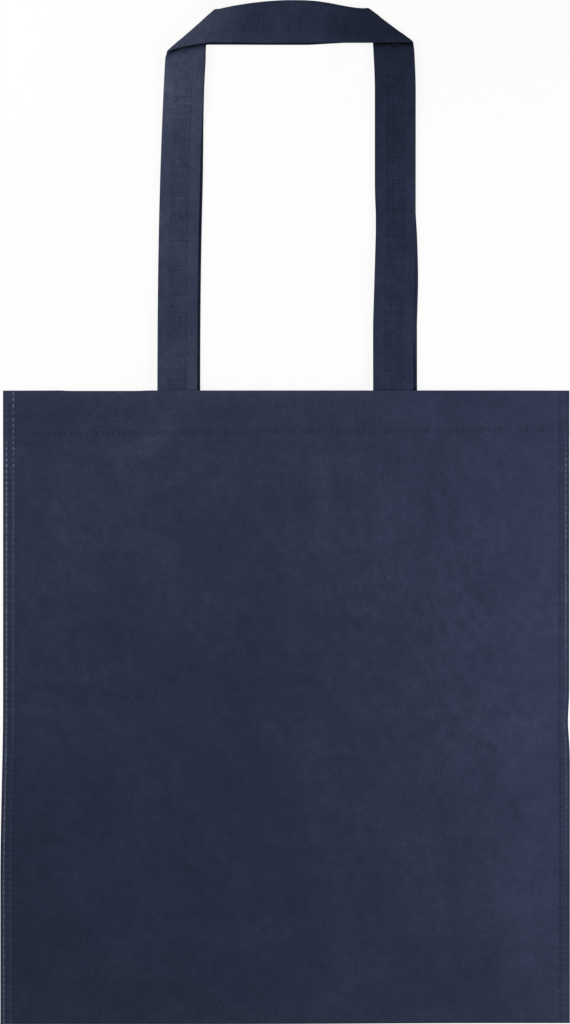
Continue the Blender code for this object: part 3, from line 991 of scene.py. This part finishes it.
def tone_values(row, col, x, y):
    """How light the dyed cloth is along one row: dark in some welds, pale on ridges and dark in valleys
    (partly painted light and shade), and painted light and shade in patches and at the mouth and the
    bottom.
    """
    dark_row = (col["side"] > 0) & (col["dash"] > 0) & (col["inset"] > WELD_MIDDLE)
    tone = 1 - DARK_ROW * dark_row * between(DARK_BETWEEN, 1.0, row.dash)
    tone = tone - TICK_DARK * np.minimum(col["tick"], 1.0) * row.tick
    if row.face < 0 or row.depth:
        return tone
    distance = Y_MOUTH - y
    # Paler ridges and darker valleys: partly creased cloth's whitening, partly painted light and shade
    tone = tone + RIDGE_PALE_AND_PAINTED_LIGHT * np.clip(crease_sum(x, distance) / MM, *RIDGE_RANGE)
    # Painted light and shade in wide patches
    for middle, depth, wide, high, amount in PAINTED_SHADE_PATCHES:
        across = (x / MM - middle) / wide
        down = (distance / MM - depth) / high
        tone = tone + amount * np.exp(-(across**2) - down**2)
    # Painted light along the mouth's edge and towards the bottom
    tone = tone + np.interp(x / MM, *MOUTH_PAINTED_LIGHT) * np.exp(-distance / MOUTH_PAINTED_LIGHT_REACH)
    return tone + BOTTOM_PAINTED_LIGHT * clip((distance - BAG_HEIGHT + FOOT) / BOTTOM_PAINTED_LIGHT_REACH)


def make_body(material):
    """The bag's one sheet: folded at the bottom, hemmed inward at both mouths, welded at both sides."""
    columns = margin_columns(-1) + open_columns() + margin_columns(1)[::-1]
    col = {name: np.array(values) for name, values in zip(Column._fields, zip(*columns))}
    rows = sheet_rows()
    regions = lattice_regions(rows, columns)
    keys, rings = lattice_faces(regions, len(rows))
    strengths = {side: [dash_strengths(seed + side) for seed in DASH_SEEDS] for side in (-1, 1)}
    lines = {}
    for i in {key[0] for key in keys}:
        x, y, z = row_places(rows[i], col)
        pale = weld_glint_values(rows[i], col, strengths)
        lines[i] = np.stack([x, y, z, pale, tone_values(rows[i], col, x, y)], axis=1)
    order = sorted(keys)
    values = np.array([lines[i][j] for i, j in order])
    index = {key: number for number, key in enumerate(order)}
    faces = [[index[key] for key in ring] for ring in rings]
    attributes = {"weld": values[:, 3], "tone": values[:, 4]}
    piece = finish_piece("bag_cloth", values[:, :3].tolist(), faces, attributes, material)
    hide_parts("bag_body")


# Mesh of the handles


def strap_edges(corner, y):
    """(outer x, inner x) of a strap at a height, as distances from the middle of the bag."""
    amount, start, reach, power = corner["lean"]
    outer = corner["outer"] - amount * clip((y - Y_MOUTH - start) / reach) ** power
    outer -= corner["bend"] * blend((y - BEND_START) / BEND_REACH)
    return outer, outer - STRAP_WIDTH


def rear_shift(handle, corner, y):
    """How far out of its place a strap lies at a height. Only the rear one does."""
    low, high, near, far = corner["rear_shift"]
    return handle["is_rear"] * between(low, high, blend((y - Y_MOUTH - near) / (far - near)))


def fold_axis(corner):
    """The diagonal fold's axis, which lies inside its outline, and the direction out of the corner."""
    low, high = [Vector((across, Y_CREST + down)) for across, down in (corner["low"], corner["high"])]
    along = (high - low).normalized()
    out = Vector((-along.y, along.x))
    if out.x < 0:
        out = -out
    inset = out * (FOLD_RADIUS + STRAP_THICKNESS / 2)
    return low - inset, high - inset, out


def fold_ends(corner, turn):
    """Where the strip's two edges are on the fold's axis after a turn. They wind up along it."""
    low, high, _ = fold_axis(corner)
    along = (high - low).normalized()
    wound = along * FOLD_RADIUS * (turn - math.pi / 2) * along.y / abs(along.x)
    return low + wound, high + wound


def strap_height(handle, y):
    """Height of a strap's middle: down out of the mouth, along, and up to its corner."""
    dropped = between(handle["tucked"], handle["flat"], blend((y - Y_MOUTH) / STRAP_DROP))
    return between(dropped, handle["corner"], blend((y - FAN_START + STRAP_RISE) / STRAP_RISE))


def upright_stations(handle, corner):
    """Stations up one strap, from its tucked end to its fold: (outer edge, inner edge, facing)."""
    low, high = fold_ends(corner, 0)
    stations = []
    for y in np.linspace(Y_MOUTH - TUCK, FAN_START, STRAP_STATIONS):
        outer_x, inner_x = strap_edges(corner, y)
        shift = rear_shift(handle, corner, y)
        height = strap_height(handle, y)
        stations.append((Vector((outer_x + shift, y, height)), Vector((inner_x + shift, y, height)), UP))
    height = handle["corner"]
    shift = rear_shift(handle, corner, FAN_START)
    for share in np.linspace(0, 1, FAN_STATIONS)[1:]:
        outer_y = between(FAN_START, low.y, share)
        inner_y = between(FAN_START, high.y, share)
        outer_x = between(strap_edges(corner, outer_y)[0] + shift, low.x, share**OUTER_TURN)
        inner_x = between(strap_edges(corner, inner_y)[1] + shift, high.x, share**INNER_TURN)
        stations.append((Vector((outer_x, outer_y, height)), Vector((inner_x, inner_y, height)), UP))
    return stations


def fold_stations(handle, corner):
    """Stations round the diagonal fold."""
    out = fold_axis(corner)[2]
    away = Vector((out.x, out.y, 0))
    centre = handle["corner"] + FOLD_RADIUS
    stations = []
    for degrees in range(FOLD_STEP, 181, FOLD_STEP):
        turn = math.radians(degrees)
        low, high = fold_ends(corner, turn)
        facing = UP * math.cos(turn) - away * math.sin(turn)
        moved = -facing * FOLD_RADIUS + UP * centre
        stations.append((low.to_3d() + moved, high.to_3d() + moved, facing))
    return stations


def lower_edge(handle, corner, across):
    """Y of the top stretch's lower edge, at a distance from the middle of the bag."""
    low = fold_ends(corner, math.pi)[0]
    reach, full = corner["ease"]
    distance = low.x - across
    end = low.y + corner["lip"] * (1 - clip(1 - distance / reach) ** LIP_TURN)
    return between(Y_CREST + handle["crest"][0], end, clip((reach - distance) / (reach - full)))


def top_stations(handle, corner):
    """Stations from a fold to the crest, where the strip lies face down."""
    low, high = fold_ends(corner, math.pi)
    centre = corner["side"] * CREST_X
    square = high.x - TOP_FAN
    raised = handle["corner"] + 2 * FOLD_RADIUS
    fan = np.linspace(0, 1, TOP_FAN_STATIONS)[1:]
    pairs = [(between(low.x, square, share), between(high.x, square, share)) for share in fan]
    pairs += [(between(square, centre, share),) * 2 for share in np.linspace(0, 1, TOP_STATIONS)[1:-1]]
    stations = []
    for low_x, high_x in pairs:
        across = (high_x - centre) / (high.x - centre)
        lower_y = lower_edge(handle, corner, low_x)
        arch = between(across ** ARCH_TURNS[0], blend(across) ** ARCH_TURNS[1], corner["level"])
        upper_y = between(Y_CREST + handle["crest"][1], high.y, arch)
        from_crest = (low_x + high_x) / 2 - centre
        height = between(handle["flat"], raised, blend((from_crest - TOP_FLAT) / TOP_CLIMB))
        stations.append((Vector((low_x, lower_y, height)), Vector((high_x, upper_y, height)), -UP))
    return stations


def handle_path(handle):
    """Arrays of outer edge, inner edge and facing, from the left end over both corners to the right."""
    halves = []
    for corner in CORNERS.values():
        path = upright_stations(handle, corner) + fold_stations(handle, corner)
        path += top_stations(handle, corner)
        side = np.array([corner["side"], 1, 1])
        halves.append([[np.array(v) * side for v in station] for station in path])
    lower, upper = [Y_CREST + down for down in handle["crest"]]
    crest = [(CREST_X, lower, handle["flat"]), (CREST_X, upper, handle["flat"]), (0, 0, -1)]
    path = halves[0] + [[np.array(v) for v in crest]] + halves[1][::-1]
    return [np.array([station[k] for station in path]) for k in range(3)]


def bar_stations(path):
    """The path with stations at each weld bar's lines, and how pressed and how far along each is."""
    middle = (path[0] + path[1]) / 2
    along = np.concatenate([[0], np.cumsum(np.linalg.norm(np.diff(middle, axis=0), axis=1))])
    bars = int(along[-1] / BAR_PITCH)
    places = [(bar + phase) * BAR_PITCH for bar in range(bars) for phase, _ in BAR_LINES]
    places = np.array(places + [along[-1]])
    press = np.array([pressed for _, pressed in BAR_LINES] * bars + [0])
    steps = [np.stack([np.interp(places, along, part[:, k]) for k in range(3)], axis=1) for part in path]
    steps[2] /= np.linalg.norm(steps[2], axis=1)[:, None]
    return steps, press, places


# Half of the strip's section beside its weld band: shares of the folded edge's width, of the half
# thickness and of the puff, then shares of the flank's width and of the puff
EDGE_POINTS = ((0.0, 0.0, 0.0), (0.3, 0.7, 0.1), (1.0, 1.0, 0.45))
FLANK_POINTS = ((0.70, 0.9), (0.35, 1.0), (0.12, 0.75), (0.0, 0.3))


def flank_points():
    """The points of that half: (across, up, in band, share of puff)."""
    half = STRAP_WIDTH / 2
    up = STRAP_THICKNESS / 2
    band = BAND_WIDTH / 2 + BAND_RAMP
    flank = half - STRAP_EDGE - band
    points = [(half - share * STRAP_EDGE, rise * up, 0, puff) for share, rise, puff in EDGE_POINTS]
    return points + [(band + share * flank, up, 0, puff) for share, puff in FLANK_POINTS]


def strap_section():
    """Section of the strip: folded edges, puffed flanks, and between them a pressed band with a lap."""
    band = BAND_WIDTH / 2
    pressed = STRAP_THICKNESS / 2 - BAND_DEPTH
    lap = pressed - LAP_STEP
    right_over = flank_points()
    left_over = [(-across, up, flag, puff) for across, up, flag, puff in right_over]
    right_under = [(across, -up, flag, -puff) for across, up, flag, puff in right_over[1:]]
    left_under = [(-across, up, flag, puff) for across, up, flag, puff in right_under[::-1]]
    over = ((-band, pressed), (LAP_OFFSET, pressed), (LAP_OFFSET + LAP_RAMP, lap), (band, lap))
    over = [(across, up, 1, 0.0) for across, up in over]
    under = [(across, -pressed, 1, 0.0) for across in (band, -band)]
    return np.array(left_over + over + right_over[::-1] + right_under + under + left_under)


# Painted light and shade: how light the strip is, at shares of its length from its left end to its right
# one
HANDLE_PAINTED_LIGHT = (
    (0.0, 0.07, 0.12, 0.23, 0.285, 0.34, 0.39, 0.42, 0.455, 0.50, 0.57, 0.66, 0.77, 1.0),
    (1.18, 1.18, 1.00, 1.27, 1.18, 1.53, 1.39, 1.21, 0.84, 0.71, 0.48, 0.57, 0.69, 0.81),
)

# Painted light: how much paler its outer edge is than its middle, along its length, as if the strap were
# tilted towards the light
HANDLE_TILT_PAINTED_LIGHT = ((0.29, 0.36, 0.39), (0.0, 0.17, 0.0))

# Painted shade: how much darker the rear strip is than the front one, along its length, on all that doesn't
# face down, where the front one would shade it. A negative value is painted light.
REAR_PAINTED_SHADE = ((0.46, 0.58, 0.60, 0.90, 0.93), (0.55, 0.70, -0.20, -0.20, 0.25))
FACES_DOWN = -0.5

# Painted shadow: how dark a strap is just under its folded corner, and how level it has to be there
FOLD_PAINTED_SHADOW = 0.95
LEVEL = 0.99

# Bars: how dark and uneven they are, and how square the strip has to be where one is
BAR_SEED = 7
BAR_TONE = 0.20
BAR_UNEVEN = (0.3, 1.1)
BAR_SQUARE = 0.985

# The front straps' slow lift: height, length and phase of its waves, the inner edge's lead, its ends
SWAY = ((0.55 * MM, 190 * MM, 0.4), (0.30 * MM, 83 * MM, 2.1), (0.12 * MM, 37 * MM, 4.0))
SWAY_LEAD = 1.3
SWAY_EASE = 50 * MM
SWAY_END = 40 * MM


def sway(places, lead):
    """A slow lift along the strip, never below where it lies."""
    lift = np.zeros_like(places)
    for height, length, phase in SWAY:
        lift += height * (1 + np.sin(2 * math.pi * places / length + phase + lead)) / 2
    return lift


def fold_painted_shadow(handle, ring, facing):
    """A painted shadow on the strap just under its folded corner, as a factor on its tone: 1 away from it.
    """
    if facing[2] < LEVEL:
        return np.ones(len(ring))
    x, y, _ = ring.T
    corner = CORNERS["left" if x[0] < 0 else "right"]
    outer, inner = strap_edges(corner, y.mean())
    reach = between(*corner["gap"], clip((np.abs(x) - inner) / (outer - inner)))
    below = np.maximum(lower_edge(handle, corner, np.abs(x)) - y, 0)
    return 1 - FOLD_PAINTED_SHADOW * np.exp(-((below / reach) ** 2))


def tube_faces(stations, count):
    """The faces of a closed tube with so many points to a station: its sides and its two ends."""
    faces = []
    last = (stations - 1) * count
    for start in range(0, last, count):
        for m in range(count):
            n = (m + 1) % count
            faces.append((start + m, start + n, start + count + n, start + count + m))
    return faces + [tuple(range(count)), tuple(range(last, last + count))]


def make_handle(name, material):
    """One handle: a folded strip, welded along its middle with a ladder of short bars."""
    handle = HANDLES[name]
    (outer, inner, facing), press, places = bar_stations(handle_path(handle))
    across, rise, in_band, puff = strap_section().T
    y = (outer[:, 1] + inner[:, 1]) / 2
    if not handle["is_rear"]:
        loose = blend((y - Y_MOUTH) / SWAY_EASE) * (1 - blend((y - FAN_START + SWAY_END) / SWAY_EASE))
        outer[:, 2] += sway(places, 0.0) * loose
        inner[:, 2] += sway(places, SWAY_LEAD) * loose
    rng = np.random.default_rng(BAR_SEED)
    uneven = rng.uniform(*BAR_UNEVEN, len(places) // LINES + 1)
    swollen = (1 - handle["is_rear"]) * STRAP_PUFF * blend((y - Y_MOUTH) / PUFF_REACH)
    span = outer - inner
    square = np.abs(span[:, :2]).max(axis=1) / np.linalg.norm(span, axis=1)
    press = press * blend((square - BAR_SQUARE) / (1 - BAR_SQUARE))
    share = across / STRAP_WIDTH + 0.5
    # Painted light and shade along the strip, on its outer edge, and on the rear strip
    base, tilt, shade = [
        np.interp(places / places[-1], *table) for table in (HANDLE_PAINTED_LIGHT, HANDLE_TILT_PAINTED_LIGHT, REAR_PAINTED_SHADE)
    ]
    points = []
    tone = []
    for k in range(len(places)):
        bar = in_band * press[k] * uneven[k // LINES]
        up = rise - np.sign(rise) * bar * BAR_DEPTH
        up = up + swollen[k] * puff * (np.sign(puff) == np.sign(facing[k][2])) * abs(facing[k][2])
        ring = np.outer(1 - share, outer[k]) + np.outer(share, inner[k]) + np.outer(up, facing[k])
        points.extend(map(tuple, ring))
        # The strap's tone, with the painted shadow under its folded corner
        light = base[k] * fold_painted_shadow(handle, ring, facing[k]) * (1 + tilt[k] * (1 - 2 * share))
        # Painted shade on the rear strip, or painted light where the value is negative
        hidden = handle["is_rear"] * (np.sign(rise) * facing[k][2] > FACES_DOWN) * shade[k]
        tone.extend(light * (1 - BAR_TONE * bar) * (1 - hidden))
    faces = tube_faces(len(places), len(across))
    piece = finish_piece(name.replace("handle", "strap"), points, faces, {"tone": tone}, material)
    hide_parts(name)


def main():
    scene = bpy.context.scene
    scene.view_settings.view_transform = "Standard"
    make_camera()
    make_light()
    make_floor()
    make_body(cloth_material("nonwoven_body", *DYES["body"]))
    strap_cloth = cloth_material("nonwoven_strap", *DYES["strap"])
    for name in HANDLES:
        make_handle(name, strap_cloth)


main()
